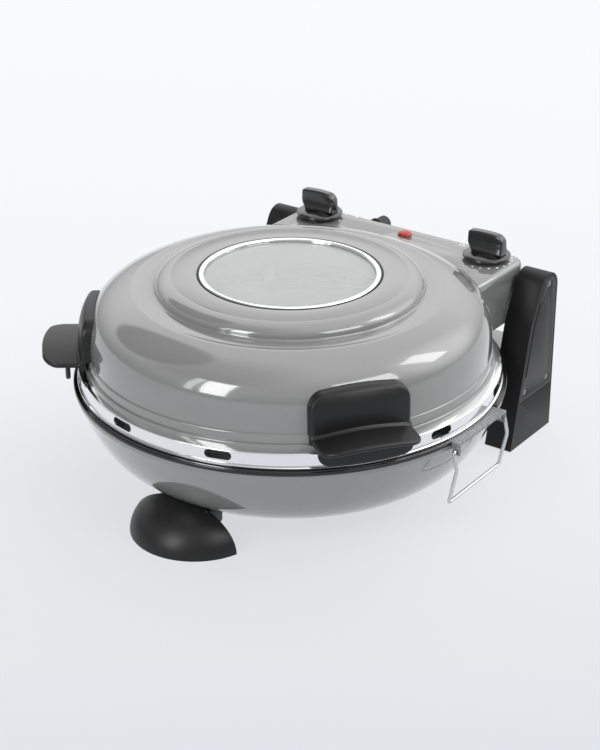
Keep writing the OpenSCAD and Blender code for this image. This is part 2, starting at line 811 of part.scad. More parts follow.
// Screws from inside the dome into the handles
module handle_screws() {
    head_r = 3.5;
    wall_r = dome_at(handle_screw_z + head_r) - lid_t;
    wall = sqrt(pow(wall_r, 2) - pow(handle_screw_t + head_r, 2)) - gap;
    color("#a8aaad") at_lid() on_both() turned(handle_turn) for (t = [-1, 1]) {
        bar_y([t * handle_screw_t, -wall, handle_screw_z], head_r, 2);
        bar_y([t * handle_screw_t, -wall - 7.5, handle_screw_z], 1.8, 7.6);
    }
}

// ---- control housing -------------------------------------------------------

// Block with round rear corners and round top edges, moved in by t
module house_block(t, z0) {
    w = house_corner - t;
    x = house_half_w - house_corner;
    y = house_back - house_corner;
    e = house_edge - t;
    z1 = house_top - t;
    side = concat([[0, z0], [w, z0]], arc([w - e, z1 - e], e, 0, 90), [[0, z1]]);
    on_both() {
        translate([x, y, 0]) rotate_extrude(angle = 90) polygon(side);
        translate([x, y, 0]) rotate([90, 0, 0]) linear_extrude(y) polygon(side);
    }
    translate([-x, y, 0]) rotate([90, 0, 90]) linear_extrude(2 * x) polygon(side);
    box([-x, 0, z0], [x, y, z1]);
}

// Sheet housing behind the dome, with holes for shafts, lamp, pins and cord
module control_housing() {
    color("#909392") at_lid() difference() {
        house_block(0, house_low);
        difference() {
            house_block(house_t, house_low - 1);
            cylinder(r = crown_r, h = lip_r);
        }
        dome_solid(seam);
        on_both() {
            bar_z([knob_x, knob_back, house_top - 4], 3.6, 8);
            bar_x([house_half_w - 6, hinge[0], hinge[1]], pin_r + 0.5, 10);
        }
        bar_z([0, lens_back, house_top - 4], lens_r - 1, 8);
        bar_y([gland_x, house_back - 6, gland_z], gland_r - 1, 10);
    }
}
floor_t = 1.4;
floor_screw = [house_half_w - 20, house_back - 9];

// Plate that closes the housing below, behind the dome
module housing_floor() {
    color("#909392") at_lid() difference() {
        intersection() {
            house_block(house_t + fit, house_low);
            box([-house_half_w, 0, house_low], [house_half_w, house_back, house_low + floor_t]);
        }
        dome_solid(seam);
        on_both() bar_z([floor_screw[0], floor_screw[1], 0], 2.1, house_top);
    }
}

// Screws with threaded posts that hold the floor
module housing_floor_screws() {
    color("#a8aaad") at_lid() on_both() {
        bar_z([floor_screw[0], floor_screw[1], house_low + floor_t], 3.6, 2.2);
        bar_z([floor_screw[0], floor_screw[1], house_low - seam], 2, floor_t + 0.6);
    }
}

// Steel plate inside the housing's side with the hinge pin
module hinge_bracket() {
    color("#9a9c9f") at_lid() {
        intersection() {
            along_x(hinge_in_x - 4, hinge_in_x + 1) polygon(round_box(
                [hinge_back - 16, hinge_up - 22], [hinge_back + 6, hinge_up + 12], 3));
            difference() {
                house_block(house_t, 0);
                house_block(house_t + 2.5, -1);
            }
        }
        bar_x([hinge_in_x - 3, hinge[0], hinge[1]], pin_r, boss_end + 2 - hinge_in_x);
    }
}

module left_hinge_bracket() {
    on_left() hinge_bracket();
}

module right_hinge_bracket() {
    hinge_bracket();
}

works_half = 16;
works_low = under_panel - 28;
works_depth = 29;

// Box of a timer or thermostat under the panel, with a bore for its shaft
module works(round) {
    rear = knob_front - house_t - 4;
    difference() {
        union() {
            box([-works_half, rear - works_depth, works_low], [works_half, rear, under_panel - 3]);
            bar_z([0, 0, under_panel - 3 - eps], 7, 3 + eps);
            if (round) bar_z([0, 4, works_low - 5], 10, 5 + eps);
        }
        bar_z([0, 0, works_low + 8], shaft_r + fit, house_top);
    }
}

module timer_mechanism() {
    color("#d9d4c4") at_lid() translate([-knob_x, knob_back, 0]) works(true);
}

module thermostat_body() {
    color("#c8c2b2") at_lid() translate([knob_x, knob_back, 0]) works(false);
}

module pilot_lens() {
    color("#b01414") at_lid() translate([0, lens_back, house_top])
        rotate_extrude() polygon(concat([[0, 0], [lens_r, 0], [lens_r, 0.8]],
            [for (i = [1:8]) [lens_r * cos(90 * i / 8), 0.8 + 2.4 * sin(90 * i / 8)]]));
}

module pilot_lamp_holder() {
    color("#dcdcd8") at_lid() bar_z([0, lens_back, house_top - 18], lens_r - 1.1, 18);
}

module terminal_block() {
    y = house_back - house_t;
    color("#ece8dc") at_lid() difference() {
        box([-24, y - 12, top_coil_z - 9], [24, y, top_coil_z + 7]);
        for (i = [-1:1]) bar_z([i * 12 + 6, y - 6, top_coil_z], 2, 10);
    }
}

// Bundle of wires between the timer and the thermostat
module wire_harness() {
    color("#c9a46a") at_lid() bar_x([works_half - knob_x, house_back - house_t - 2.6, works_low + 8],
        2.4, 2 * (knob_x - works_half));
}

// Ribbed gland where the supply cord would enter
module cord_gland() {
    color("#1c1c1d") at_lid() translate([gland_x, house_back, gland_z]) rotate([-90, 0, 0])
        difference() {
            union() {
                cylinder(r = gland_r + 1.5, h = 2, $fn = 48);
                cylinder(r = gland_r, h = gland_out - 2, $fn = 48);
                translate([0, 0, gland_out - 2 - eps])
                    cylinder(r1 = gland_r, r2 = gland_r - 2, h = 2 + eps, $fn = 48);
                translate([0, 0, -4]) cylinder(r = gland_r - 1.2, h = 4 + eps, $fn = 48);
            }
            translate([0, 0, -5]) cylinder(r = cord_r, h = gland_out + 6, $fn = 48);
        }
}

// ---- knobs -----------------------------------------------------------------

// Round disc with a blade grip that narrows towards its foot
module knob() {
    half_l = grip_l / 2;
    half_w = 4.8;
    base = disc_t - 1;
    top = disc_t + grip_h;
    side = concat([[-half_l + 5, base], [-half_l, disc_t + 6]],
        flip(arc([-half_l + 2, top - 2], 2, 90, 180, 4)),
        [[-half_l / 3, top]], flip(arc([half_l - 7, top - 8.4], 7, 0, 78, 8)), [[half_l - 1, base]]);
    front = [[2 - half_w, base], [-half_w, disc_t + 5], [0.6 - half_w, top + 1],
        [half_w - 0.6, top + 1], [half_w, disc_t + 5], [half_w - 2, base]];
    difference() {
        union() {
            rotate_extrude() polygon(concat([[0, 0], [knob_r - 2.4, 0]],
                arc([knob_r - 2.4, 2], 2.4, -50, 60, 6),
                [[knob_r - 4, disc_t - 0.6], [knob_r - 7, disc_t], [0, disc_t]]));
            intersection() {
                translate([0, knob_r, 0]) rotate([90, 0, 0]) linear_extrude(2 * knob_r) polygon(side);
                along_x(-knob_r, knob_r) polygon(front);
                linear_extrude(top + 1) polygon(round_box([-half_l, -half_w], [half_l, half_w], 3.4));
            }
        }
        bar_z([0, 0, -1], shaft_r + fit, disc_t + 7);
    }
}

module shaft() {
    low = works_low + 8.4;
    bar_z([0, 0, low], shaft_r, disc_low + disc_t + 5.4 - low);
}

module timer_knob() {
    color("#1d1d1e") at_lid() translate([-knob_x, knob_back, disc_low]) knob();
}

module timer_shaft() {
    color("#b4b6b8") at_lid() translate([-knob_x, knob_back, 0]) shaft();
}

module thermostat_knob() {
    color("#1d1d1e") at_lid() translate([knob_x, knob_back, disc_low]) knob();
}

module thermostat_shaft() {
    color("#b4b6b8") at_lid() translate([knob_x, knob_back, 0]) shaft();
}

// ---- bails -----------------------------------------------------------------

// Round wire through a list of points, bent at each inner point to radius r
module bent_wire(p, r) {
    n = len(p) - 1;
    way = [for (i = [0:n - 1]) (p[i + 1] - p[i]) / norm(p[i + 1] - p[i])];
    turn = [for (i = [1:n - 1]) acos(way[i - 1] * way[i])];
    cut = concat([0], [for (a = turn) r * tan(a / 2)], [0]);
    for (i = [0:n - 1]) {
        u = way[i];
        l = norm(p[i + 1] - p[i]) - cut[i] - cut[i + 1] + 2 * eps;
        translate(p[i] + u * (cut[i] - eps)) rotate([0, acos(u[2]), atan2(u[1], u[0])])
            cylinder(r = wire_r, h = l, $fn = 32);
    }
    for (i = [1:n - 1]) {
        y = way[i - 1];
        z = cross(y, way[i]) / norm(cross(y, way[i]));
        x = cross(y, z);
        c = p[i] - y * cut[i] - x * r;
        multmatrix([[x[0], y[0], z[0], c[0]], [x[1], y[1], z[1], c[1]], [x[2], y[2], z[2], c[2]],
            [0, 0, 0, 1]]) rotate_extrude(angle = turn[i - 1])
                translate([r, 0]) circle(r = wire_r - step, $fn = 32);
    }
}

// Wire loop whose ends turn in through the holes of the ear's lugs
module bail() {
    bend = 3;
    y0 = ear_back - ear_l / 2 - bend - gap;
    y1 = ear_back + ear_l / 2 + bend + gap;
    stub = bend + gap + lug_t + 1.5;
    hip = [3.5, -15];
    color("#d2d4d6") at_lid() translate([pivot_x, 0, pivot_z])
        bent_wire([[0, y0 + stub, 0], [0, y0, 0], [hip[0], y0, hip[1]], [-bend, y0, -bail_h],
            [-bend, y1, -bail_h], [hip[0], y1, hip[1]], [0, y1, 0], [0, y1 - stub, 0]], bend);
}

module left_bail() {
    on_left() bail();
}

module right_bail() {
    bail();
}

// ---- one line for each node --------------------------------------------------

base_bowl();
base_rim_ring();
base_reflector();
lower_heating_element();
lower_element_clips();
lower_element_insulators();
baking_plate();
front_foot();
front_foot_screws();
left_column();
right_column();
left_column_cover();
right_column_cover();
column_cover_screws();
column_pads();
hinge_bushes();
rear_bracket();
rear_bracket_screws();
lid_shell();
lid_vent_ring();
lid_reflector();
upper_heating_element();
upper_element_clips();
upper_element_insulators();
window_glass();
window_gasket();
window_trim_ring();
window_clips();
left_handle();
right_handle();
handle_screws();
control_housing();
housing_floor();
housing_floor_screws();
left_hinge_bracket();
right_hinge_bracket();
timer_mechanism();
thermostat_body();
pilot_lens();
pilot_lamp_holder();
terminal_block();
wire_harness();
cord_gland();
timer_knob();
timer_shaft();
thermostat_knob();
thermostat_shaft();
left_bail();
right_bail();
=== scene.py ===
import json
import math

import bmesh
import bpy
import numpy as np
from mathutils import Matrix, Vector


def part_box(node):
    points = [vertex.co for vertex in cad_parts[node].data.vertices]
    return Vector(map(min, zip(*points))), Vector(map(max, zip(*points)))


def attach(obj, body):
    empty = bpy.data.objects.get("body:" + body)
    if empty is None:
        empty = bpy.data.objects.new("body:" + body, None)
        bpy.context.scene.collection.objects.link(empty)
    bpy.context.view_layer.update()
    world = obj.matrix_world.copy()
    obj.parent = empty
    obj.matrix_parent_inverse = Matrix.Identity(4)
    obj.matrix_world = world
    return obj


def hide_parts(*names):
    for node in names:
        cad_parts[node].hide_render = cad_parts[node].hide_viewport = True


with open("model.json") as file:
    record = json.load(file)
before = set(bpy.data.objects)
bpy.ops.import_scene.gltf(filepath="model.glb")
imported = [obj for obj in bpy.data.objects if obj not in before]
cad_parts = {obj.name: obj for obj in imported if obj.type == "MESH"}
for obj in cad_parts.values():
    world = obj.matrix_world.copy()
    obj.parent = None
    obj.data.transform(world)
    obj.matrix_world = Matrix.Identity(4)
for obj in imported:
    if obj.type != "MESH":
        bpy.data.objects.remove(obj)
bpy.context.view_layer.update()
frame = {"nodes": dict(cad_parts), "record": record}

# ---- Camera --------------------------------------------------------------------
# It stands where the photograph was taken: right of the front, looking down.
# Its place was worked out from the circles of the lid, the window and the base.
CAMERA_AT, CAMERA_TURN, CAMERA_DOWN, LENS_MM = (0.8504, -1.2000, 0.7944), 125.29 - 90, 25.90, 92.54
camera = bpy.data.objects.new("camera", bpy.data.cameras.new("camera"))
camera.location = CAMERA_AT
camera.rotation_euler = (math.radians(90 - CAMERA_DOWN), 0, math.radians(CAMERA_TURN))
camera.data.lens = LENS_MM
camera.data.sensor_width = 36
bpy.context.scene.collection.objects.link(camera)
bpy.context.scene.camera = camera

# ---- Base bowl -----------------------------------------------------------------
# Pressed steel bowl, stoved with a mid-grey enamel under a clear coat.
# One sheet turned about the lid's axis, with a nearly flat underside.
MM = 0.001
glass_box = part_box("window_glass")
AXIS_Y = (glass_box[0][1] + glass_box[1][1]) / 2 / MM
LIP_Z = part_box("lid_vent_ring")[0][2] / MM
SHEET = 1.2
BOWL_R, RIM_LOW, BOWL_FALL, BOWL_DEPTH = 180.3, -3.5, 4, 63.5
BOWL_TOP = RIM_LOW - BOWL_FALL
WALL_POWER, FLOOR_POWER, BOWL_SWEEP = 4.5, 2.22, 84
bodies = frame["record"]["behaviour"]["bodies"].items()
BODY_OF = {node: body for body, nodes in bodies for node in nodes}


def linear(hexa):
    """sRGB hex colour to linear RGBA."""
    part = [int(hexa[i : i + 2], 16) / 255 for i in (1, 3, 5)]
    return [c / 12.92 if c <= 0.04045 else ((c + 0.055) / 1.055) ** 2.4 for c in part] + [1]


def add(tree, kind, inputs, **settings):
    """Adds a node. settings are its own attributes; inputs gives a socket its value or link."""
    node = tree.nodes.new(kind)
    for name, value in settings.items():
        setattr(node, name, value)
    for key, value in inputs.items():
        if isinstance(value, bpy.types.NodeSocket):
            tree.links.new(value, node.inputs[key])
        else:
            node.inputs[key].default_value = value
    return node


def finish_of(name, **values):
    """New material whose Principled shader has values. Returns it, tree, shader, coordinates."""
    mat = bpy.data.materials.new(name)
    mat.use_nodes = True
    tree = mat.node_tree
    shader = tree.nodes["Principled BSDF"]
    for key, value in values.items():
        shader.inputs[key.replace("_", " ")].default_value = value
    place = add(tree, "ShaderNodeTexCoord", {}).outputs["Object"]
    return mat, tree, shader, place


def mottle(tree, shader, place, size, dark, light, depth=0.0, strength=0.2):
    """Colour wanders between two hex colours in a grain of size mm; depth mm of it is relief."""
    noise = {"Vector": place, "Scale": 1 / (size * MM), "Detail": 2.0}
    grain = add(tree, "ShaderNodeTexNoise", noise)
    ends = {0: grain.outputs["Fac"], 6: linear(dark), 7: linear(light)}
    tone = add(tree, "ShaderNodeMix", ends, data_type="RGBA")
    tree.links.new(tone.outputs[2], shader.inputs["Base Color"])
    if depth:
        height = {"Height": grain.outputs["Fac"], "Strength": strength, "Distance": depth * MM}
        bump = add(tree, "ShaderNodeBump", height)
        tree.links.new(bump.outputs["Normal"], shader.inputs["Normal"])
    return tone.outputs[2]


def mottled(name, size, dark, light, depth=0.0, strength=0.2, **values):
    """New material with a mottle and nothing else."""
    mat, tree, shader, place = finish_of(name, **values)
    mottle(tree, shader, place, size, dark, light, depth, strength)
    return mat


# Stoved enamel: a grey ground under clear lacquer. Gloss, and the faint waviness of a
# sprayed coat.
enamel = mottled(
    "stoved_grey_enamel", 0.8, "#7a7b7a", "#848584", depth=0.02, strength=0.05,
    Metallic=0.22, Roughness=0.12, Specular_IOR_Level=0.2, Coat_Weight=1.0, Coat_Roughness=0.03,
)


def piece(name, grids, material, *nodes, body=None, slot=None, crease=35):
    """Makes one object of grids (points, rows closed, columns closed), in mm from the lip."""
    verts, faces, base = [], [], 0
    for points, rows_closed, cols_closed in grids:
        m, n = points.shape[:2]
        i = np.arange(m if rows_closed else m - 1)[:, None]
        j = np.arange(n if cols_closed else n - 1)[None, :]
        here, ahead, beside = i * n, (i + 1) % m * n, (j + 1) % n
        corners = [here + j, here + beside, ahead + beside, ahead + j]
        faces.append(np.stack(np.broadcast_arrays(*corners), -1).reshape(-1, 4) + base)
        verts.append(points.reshape(-1, 3))
        base += m * n
    mesh = bpy.data.meshes.new(name)
    place_mm = np.concatenate(verts) + [0, AXIS_Y, LIP_Z]
    mesh.from_pydata(place_mm * MM, [], np.concatenate(faces).tolist())
    work = bmesh.new()
    work.from_mesh(mesh)
    bmesh.ops.remove_doubles(work, verts=work.verts, dist=2e-6)
    bmesh.ops.dissolve_degenerate(work, dist=1e-7, edges=work.edges)
    bmesh.ops.recalc_face_normals(work, faces=work.faces)
    work.to_mesh(mesh)
    work.free()
    mesh.shade_smooth()
    mesh.set_sharp_from_angle(angle=math.radians(crease))
    obj = bpy.data.objects.new(name, mesh)
    obj.data.materials.append(material)
    bpy.context.scene.collection.objects.link(obj)
    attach(obj, body or BODY_OF[nodes[0]])
    if nodes:
        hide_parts(*nodes)


def turned(profile, start=0, end=360, steps=320):
    """Surface of revolution: (r, h) goes to (r sin t, -r cos t, h) for t from start to end."""
    r, h = np.asarray(profile, float).T[:, :, None]
    t = np.radians(np.linspace(start, end, steps, endpoint=end - start < 360))[None, :]
    return np.stack([r * np.sin(t), -r * np.cos(t), h + 0 * t], -1)


def arc(centre, radius, start, end, n=8):
    """n + 1 points of a circular arc, centre + radius (cos a, sin a), between two angles."""
    a = np.radians(np.linspace(start, end, n + 1))
    return np.stack([centre[0] + radius * np.cos(a), centre[1] + radius * np.sin(a)], -1)


def bowl_line(inset):
    """Superellipse r = R cos(a)^(1/4.5), h = top - depth sin(a)^2.22, moved in by inset."""
    a = np.radians(BOWL_SWEEP * np.linspace(0, 1, 70))
    r = BOWL_R * np.cos(a) ** (1 / WALL_POWER) - inset
    h = BOWL_TOP - BOWL_DEPTH * np.sin(a) ** FLOOR_POWER + inset
    foot = [[r[-1] * k, BOWL_TOP - BOWL_DEPTH + inset] for k in (0.9, 0.5, 0)]
    return np.concatenate([[[BOWL_R - inset, RIM_LOW]], np.stack([r, h], -1), foot])


bowl = np.concatenate([bowl_line(0), bowl_line(SHEET)[::-1]])
piece("bowl", [(turned(bowl), True, True)], enamel, "base_bowl")

# ---- Rim ring ------------------------------------------------------------------
# Ring of gloss black phenolic on the bowl's edge, which keeps the lid off the paint.
# Its band stops at both of the baking plate's ears; its skirt runs all round.
# Phenolic: deep black with a hard gloss, so that the edge shows as one clear line.
gloss_black = mottled(
    "gloss_black_phenolic", 1.5, "#070708", "#0b0b0c", depth=0.01, strength=0.05,
    Roughness=0.14, IOR=1.55,
)
SKIRT_IN, SKIRT_OUT, SKIRT_LOW, SKIRT_TOP = 174, 177.1, -9, -3.45
BAND_IN, BAND_OUT, BAND_TOP, EAR_FROM, EAR_TO = 177, 181.5, -0.3, 79.5, 103.1
EDGE_LOW, EDGE_TOP = 0.5, 1
skirt = [[SKIRT_IN, SKIRT_LOW], [SKIRT_OUT, SKIRT_LOW], [SKIRT_OUT, SKIRT_TOP]]
skirt += [[SKIRT_IN, SKIRT_TOP]]
low_round = arc((BAND_OUT - EDGE_LOW, RIM_LOW + EDGE_LOW), EDGE_LOW, -90, 0, 4)
top_round = arc((BAND_OUT - EDGE_TOP, BAND_TOP - EDGE_TOP), EDGE_TOP, 0, 90, 6)
band = np.concatenate([[[BAND_IN, RIM_LOW]], low_round, top_round, [[BAND_IN, BAND_TOP]]])


def closed_end(loop):
    """Closes a loop of points with faces that meet in its middle."""
    return np.stack([loop, np.broadcast_to(loop.mean(0), loop.shape)])


ring = [(turned(skirt), True, True)]
for start, end in ((-EAR_FROM, EAR_FROM), (EAR_TO, 360 - EAR_TO)):
    stretch = turned(band, start, end, 150)
    ring += [(stretch, True, False)] + [(closed_end(stretch[:, k]), False, True) for k in (0, -1)]
piece("rim_ring", ring, gloss_black, "base_rim_ring")

# ---- Front foot ----------------------------------------------------------------
# Scoop-shaped moulding of satin black polyamide, open at the back and below.
# It is screwed to the bowl through a block behind it.
# Polyamide: near black with a soft sheen that the mould's spark texture breaks up.
satin_black = mottled(
    "spark_textured_black_polyamide", 0.45, "#101011", "#171718", depth=0.03, strength=0.25,
    Roughness=0.38, IOR=1.53, Specular_IOR_Level=0.35,
)
FOOT_Y, FOOT_CUT, FOOT_R, FOOT_H, FOOT_WALL = 130.3, 15.9, 54.5, 36, 3
BLOCK_LOW, BLOCK_HIGH, BLOCK_ROUND, BLOCK_HALF = (-149.2, -78), (-128.2, -60), 2.5, 25


def under_bowl(points, gap=0.05):
    """Lowers what would rise into the bowl to a gap below its underside."""
    share = np.clip(np.hypot(points[..., 0], points[..., 1]) / BOWL_R, 0, 1) ** WALL_POWER
    fall = BOWL_DEPTH * np.sin(np.arccos(share)) ** FLOOR_POWER
    points[..., 2] = np.minimum(points[..., 2], BOWL_TOP - fall - gap)
    return points


def scoop(inset):
    """Ellipse r = R cos k, h = H sin k, turned about an upright axis as far as the cut."""
    radius, height = FOOT_R - inset, FOOT_H - inset
    k = math.acos(FOOT_CUT / radius) * np.linspace(0, 1, 48)[:, None]
    half = np.arccos(np.clip(FOOT_CUT / (radius * np.cos(k)), -1, 1))
    t = half * np.linspace(-1, 1, 97)[None, :]
    r = radius * np.cos(k)
    z = height * np.sin(k) - LIP_Z + 0 * t
    return under_bowl(np.stack([r * np.sin(t), -FOOT_Y - r * np.cos(t), z], -1))


def rim(first, second):
    """Wall between the edges of two grids of the same size."""
    edges = [(g[0], g[1:, -1], g[-1, -2::-1], g[-2:0:-1, 0]) for g in (first, second)]
    return np.stack([np.concatenate(edge) for edge in edges])


def rounded_box(low, high, radius, n=6):
    """Outline of a box from low to high: a quarter circle at each corner, from angle a on."""
    corners = [
        (high[0] - radius, low[1] + radius, -90), (high[0] - radius, high[1] - radius, 0),
        (low[0] + radius, high[1] - radius, 90), (low[0] + radius, low[1] + radius, 180),
    ]
    return np.concatenate([arc((x, y), radius, a, a + 90, n) for x, y, a in corners])


def slab(outline, layers, axis):
    """Closed block: a convex outline, moved in at each layer (inset, height) along an axis."""
    ahead = np.roll(outline, -1, 0) - outline
    ahead /= np.linalg.norm(ahead, axis=1)[:, None] + 1e-12
    left = np.stack([-ahead[:, 1], ahead[:, 0]], -1)
    behind = np.roll(left, 1, 0)
    inward = (left + behind) / (1 + (left * behind).sum(1))[:, None]
    rows = [np.insert(outline + inset * inward, axis, height, axis=1) for inset, height in layers]
    middle = [np.broadcast_to(row.mean(0), row.shape) for row in (rows[0], rows[-1])]
    return np.stack([middle[0]] + rows + [middle[1]])


outer, inner = scoop(0), scoop(FOOT_WALL)
steps = [(1, BLOCK_HALF), (0.3, BLOCK_HALF - 0.3), (0, BLOCK_HALF - 1)]
layers = [(inset, -x) for inset, x in steps] + steps[::-1]
block = under_bowl(slab(rounded_box(BLOCK_LOW, BLOCK_HIGH, BLOCK_ROUND), layers, 0))
foot = [(outer, False, False), (inner, False, False)]
foot += [(rim(outer, inner), False, True), (block, False, True)]
piece("front_foot_scoop", foot, satin_black, "front_foot")

# ---- Baking plate --------------------------------------------------------------
# Cast aluminium plate with two ears, sprayed with a granite-look non-stick coat.
# Its sharp edges are broken and its lugs carry the wire bails.
# The coat: dull mid-grey, sprinkled with small pale and black flecks.
granite, tree, shader, place = finish_of("granite_look_nonstick_coat", Roughness=0.45, IOR=1.45)
ground = mottle(tree, shader, place, 3, "#6f7072", "#7d7e80")
for size, low_edge, tint in ((0.9, 0.62, "#c9c9c7"), (0.7, 0.63, "#2a2a2b")):
    noise = {"Vector": place, "Scale": 1 / (size * MM), "Detail": 1.0, "W": size}
    fleck = add(tree, "ShaderNodeTexNoise", noise, noise_dimensions="4D")
    ends = {0: fleck.outputs["Fac"], 1: low_edge, 2: low_edge + 0.03}
    edge = add(tree, "ShaderNodeMapRange", ends)
    tones = {0: edge.outputs[0], 6: ground, 7: linear(tint)}
    ground = add(tree, "ShaderNodeMix", tones, data_type="RGBA").outputs[2]
tree.links.new(ground, shader.inputs["Base Color"])


def softened(name, node, width, material):
    """Copy of a CAD node: flat faces whole, round ones smooth, sharp edges rounded to width mm."""
    mesh = frame["nodes"][node].data.copy()
    mesh.name = name
    work = bmesh.new()
    work.from_mesh(mesh)
    bmesh.ops.remove_doubles(work, verts=work.verts, dist=1e-6)
    flat = math.radians(0.3)
    bmesh.ops.dissolve_limit(work, angle_limit=flat, verts=work.verts, edges=work.edges)
    work.to_mesh(mesh)
    work.free()
    mesh.shade_smooth()
    mesh.materials.clear()
    mesh.materials.append(material)
    obj = bpy.data.objects.new(name, mesh)
    bpy.context.scene.collection.objects.link(obj)
    edge = obj.modifiers.new("broken_edges", "BEVEL")
    edge.width, edge.segments = width * MM, 2
    edge.limit_method, edge.angle_limit = "ANGLE", math.radians(35)
    edge.use_clamp_overlap, edge.harden_normals, edge.miter_outer = True, True, "MITER_ARC"
    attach(obj, BODY_OF[node])
    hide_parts(node)


softened("baking_plate_cast", "baking_plate", 0.5, granite)

# ---- Wire bails ----------------------------------------------------------------
# Bright drawn steel wire, bent to a loop whose ends turn in through the ears' lugs.
# Bare metal: a clear, slightly drawn-out gleam along each leg.
drawn_steel = mottled(
    "bright_drawn_steel_wire", 1.5, "#c6c8ca", "#d6d8da", Metallic=1.0, Roughness=0.22
)
PIVOT, WIRE_R, WIRE_BEND = (182, 4, -8), 1.5, 2.6
SPAN, STUB, DROP = 36 + 3.3, 6.8, 46
KNEE_X, KNEE_Z, TUCK_X = 3.5, -15, -3


def bent(points, radius, n=7):
    """Line with each inner corner drawn as a quadratic curve that starts radius before it."""
    p = np.asarray(points, float)
    way = np.diff(p, axis=0)
    way /= np.linalg.norm(way, axis=1)[:, None]
    t = np.linspace(0, 1, n)[:, None]
    parts = [p[:1]]
    for before, corner, after in zip(way[:-1], p[1:-1], way[1:]):
        start, end = corner - radius * before, corner + radius * after
        parts.append(start * (1 - t) ** 2 + corner * 2 * t * (1 - t) + end * t**2)
    return np.concatenate(parts + [p[-1:]])


def wire(path, radius, across, around=14):
    """Circle carried along a path: path + radius (cos a, sin a) in the plane square to it."""
    ahead = np.gradient(path, axis=0)
    ahead /= np.linalg.norm(ahead, axis=1)[:, None]
    side = np.cross(ahead, across)
    side /= np.linalg.norm(side, axis=1)[:, None]
    up = np.cross(ahead, side)
    a = np.linspace(0, 2 * np.pi, around, endpoint=False)[None, :, None]
    tube = path[:, None] + radius * (np.cos(a) * side[:, None] + np.sin(a) * up[:, None])
    ends = [np.broadcast_to(p, (1, around, 3)) for p in (path[0], path[-1])]
    return np.concatenate([ends[0], tube, ends[1]])


leg = np.array([(0, SPAN - STUB, 0), (0, SPAN, 0), (KNEE_X, SPAN, KNEE_Z), (TUCK_X, SPAN, -DROP)])
loop = bent(np.concatenate([leg * [1, -1, 1], leg[::-1]]), WIRE_BEND)
for side, name in ((-1, "left"), (1, "right")):
    tube = wire((loop + PIVOT) * [side, 1, 1], WIRE_R, (1, 0, 0))
    piece(name + "_bail_wire", [(tube, False, True)], drawn_steel, name + "_bail")

# ---- Columns and rear bracket --------------------------------------------------
# Hollow black mouldings on rubber pads, closed by covers that are screwed on from outside.
# A folded and painted bracket ties them to the bowl.
# ABS of the covers: very dark grey, satin, with a fine grain.
cover_plastic = mottled(
    "moulded_dark_grey_abs", 0.45, "#19191a", "#202021", depth=0.03, strength=0.25,
    Roughness=0.42, IOR=1.53, Specular_IOR_Level=0.35,
)
# ABS of the columns: a shade blacker and duller than the covers, which stand out against it. The
# extra darkness is painted shade for the shadow that the dome and housing cast on the columns'
# fronts.
shaded_column_plastic = mottled(
    "moulded_black_abs_painted_shade", 0.45, "#0a0a0b", "#0f0f10", depth=0.03, strength=0.25,
    Roughness=0.45, IOR=1.53, Specular_IOR_Level=0.3,
)
for side in ("left", "right"):
    # The columns take the darker plastic, whose colour carries painted shade.
    softened(side + "_column_moulding", side + "_column", 0.8, shaded_column_plastic)
    softened(side + "_cover_moulding", side + "_column_cover", 0.3, cover_plastic)
softened("rear_bracket_folded", "rear_bracket", 0.3, enamel)

# Rubber: dull black with hardly any highlight.
rubber = mottled(
    "moulded_black_rubber", 0.6, "#0c0c0d", "#161617", depth=0.02, Roughness=0.55, IOR=1.52
)
# Zinc plate: a pale, cool metal with blurred reflections.
zinc = mottled("zinc_plated_steel", 1.2, "#a9abae", "#bcbec0", Metallic=1.0, Roughness=0.3)
# Blackened steel: dark metal with a wide, weak sheen.
blackened = mottled("blackened_steel", 1.5, "#303133", "#3b3c3e", Metallic=1.0, Roughness=0.45)
# Undyed nylon: a warm, waxy off-white.
nylon = mottled("natural_nylon", 1.0, "#d8d4c7", "#e2ded2", Roughness=0.5, IOR=1.53)
# Black zinc plate: grey metal heads that glint against the dark covers.
bright_black = mottled(
    "black_zinc_plated_steel", 1.2, "#6a6b6d", "#77787a", Metallic=1.0, Roughness=0.22
)


def dress(material, *nodes):
    """Gives CAD nodes that are shown as they are a finish."""
    for node in nodes:
        slots = frame["nodes"][node].data.materials
        slots.clear()
        slots.append(material)


dress(rubber, "column_pads")
dress(zinc, "rear_bracket_screws", "front_foot_screws", "handle_screws", "housing_floor_screws")
dress(bright_black, "column_cover_screws")
dress(blackened, "left_hinge_bracket", "right_hinge_bracket", "hinge_bushes")

# ---- Lid shell -----------------------------------------------------------------
# Deep-drawn steel dome with a squared shoulder, a raised plateau round the window
# and two rolled beads at its foot. Same stoved enamel as the bowl.
DOME_R, DOME_LOW, DOME_RISE, SQUARE = 167.8, 23.6, 61.5, 3.9
CROWN_R, VALLEY_Z, PLATEAU_Z, WINDOW_Z, WINDOW_R = 130, 77.44, 87.84, 88.24, 76.4
VALLEY_IN, FILLET_R, PLATEAU_R, FLANK_W, FLANK_H = 113.3, 2, 97.5, 13.8, 8.4
BAND_H, TURN_DOWN = 13.3, 5
BEAD_R, LOW_BEAD, TOP_BEAD, BEAD_NECK = 1.4, (170.1, 16.8), (167.9, 24.6), (169.4, 18.25)


